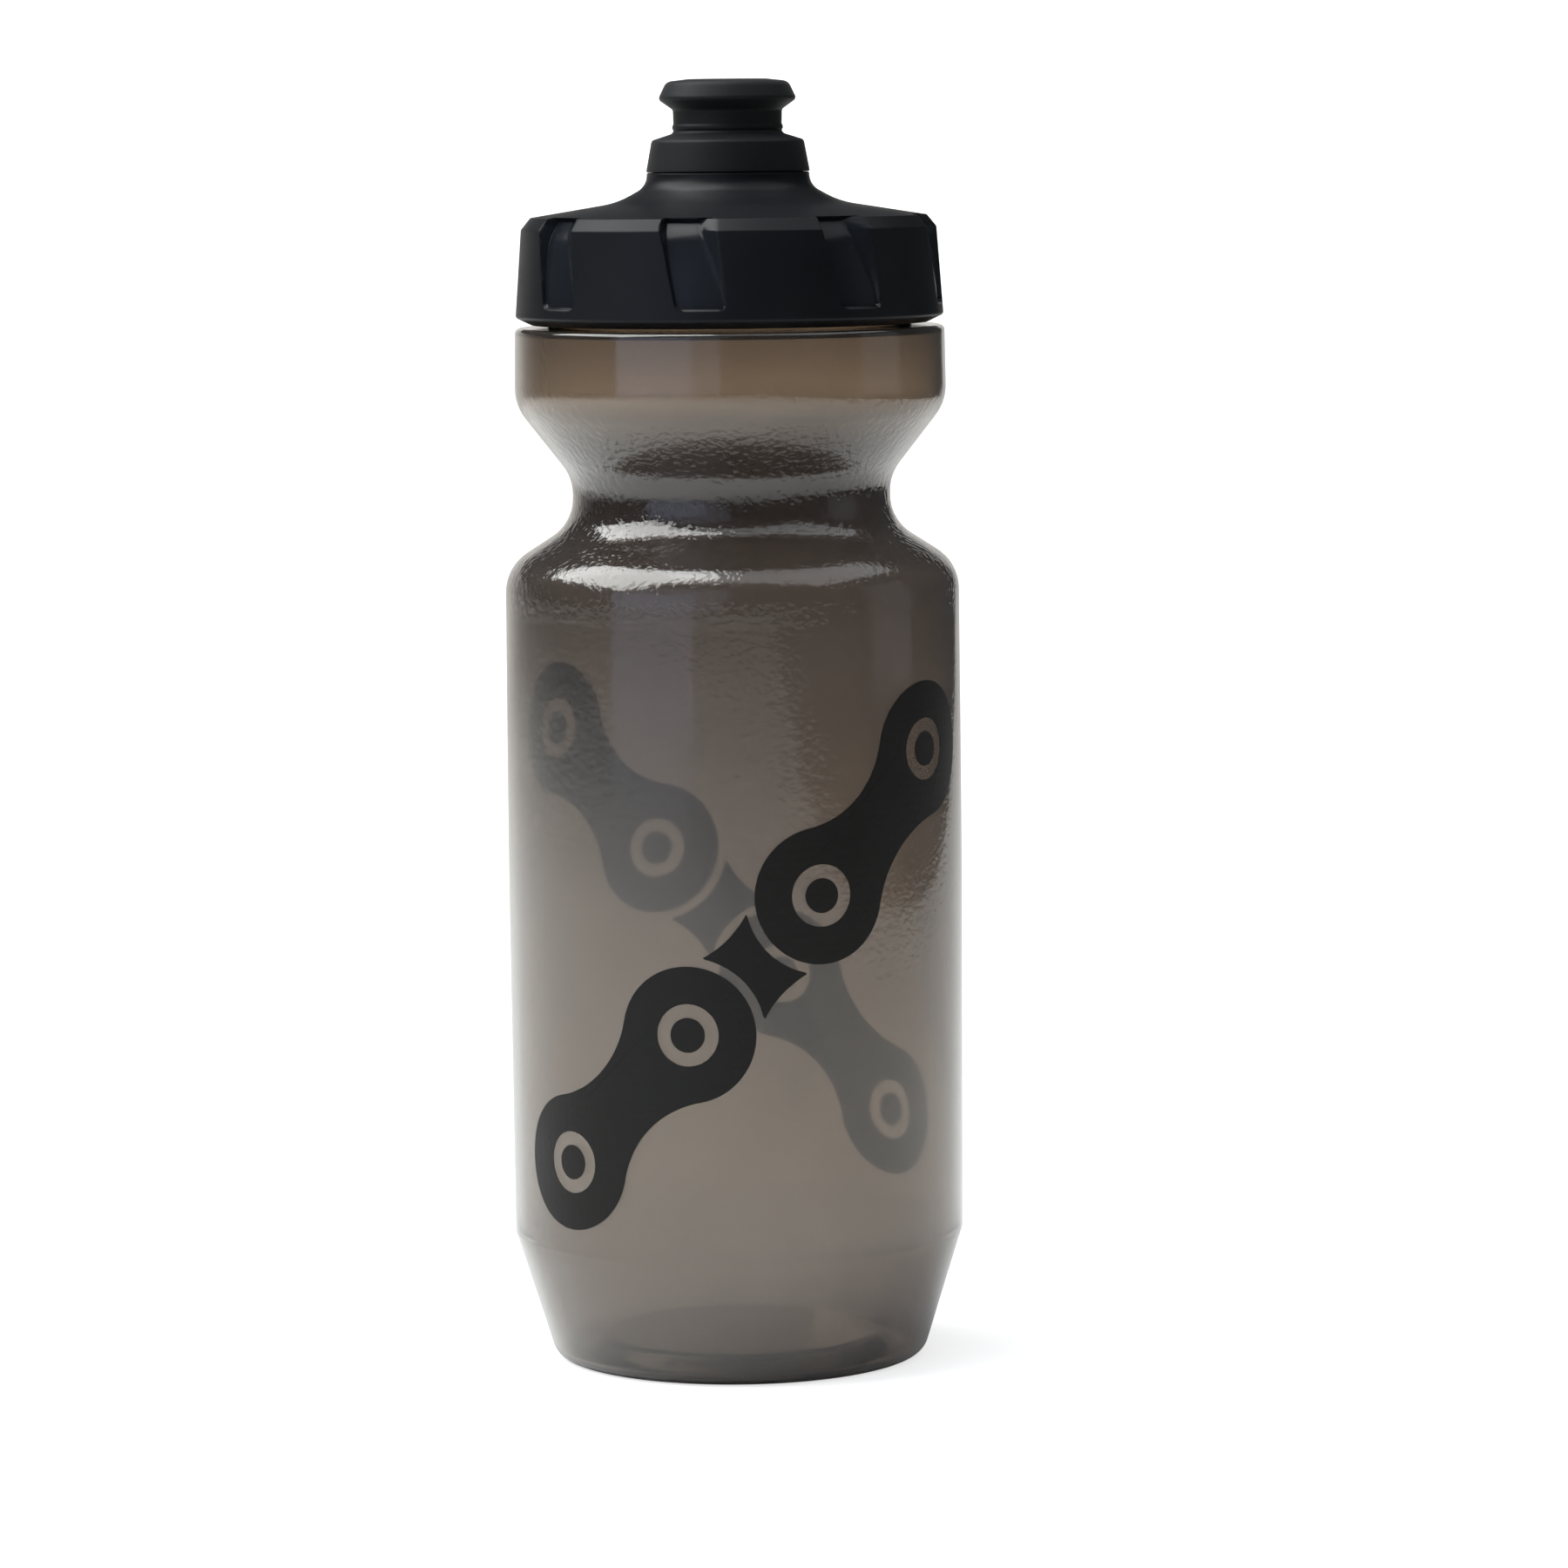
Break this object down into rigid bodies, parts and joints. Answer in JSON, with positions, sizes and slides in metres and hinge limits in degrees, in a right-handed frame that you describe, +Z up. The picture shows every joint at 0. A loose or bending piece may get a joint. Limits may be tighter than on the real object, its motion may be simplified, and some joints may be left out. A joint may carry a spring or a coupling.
{
  "type": "squeeze water bottle",
  "caption": "Translucent squeeze bottle with a narrow grip waist, a screw cap with leaning grip pockets and a push-pull drinking nozzle.",
  "frame": {"origin": "centre of the ring that the bottle stands on, on its axis of rotation", "axes": "+Z up along the bottle's axis to the nozzle; -Y is the printed front, +X its right-hand side"},
  "size_m": [0.0744, 0.0744, 0.2092],
  "materials": {
    "smoke_ldpe": "translucent, satin gloss with a fine moulded texture",
    "black_polypropylene": "satin moulded",
    "grey_polypropylene": "satin moulded",
    "soft_black_rubber": "matte moulded",
    "clear_silicone": "smooth",
    "gasket_rubber": "matte"
  },
  "bodies": {
    "bottle": {"bottle_body": "smoke_ldpe"},
    "seal": {"cap_gasket": "gasket_rubber"},
    "cap": {"screw_cap": "black_polypropylene"},
    "nozzle": {"nozzle_core": "grey_polypropylene", "nozzle_cover": "soft_black_rubber", "flow_valve": "clear_silicone", "valve_retainer": "grey_polypropylene"}
  },
  "joints": [
    {"name": "cap_rise", "type": "slide", "parent": "bottle", "child": "seal", "axis": [0, 0, 1], "range_m": [0, 0.0301]},
    {"name": "cap_turn", "type": "hinge", "parent": "seal", "child": "cap", "pos_m": [0, 0, 0.1697], "axis": [0, 0, 1], "range_deg": [0, 1800]},
    {"name": "nozzle_pull", "type": "slide", "parent": "cap", "child": "nozzle", "axis": [0, 0, 1], "range_m": [0, 0.006]}
  ],
  "couplings": [
    {"joint": "cap_rise", "follows": "cap_turn", "m_per_rad": 0.00095493}
  ]
}
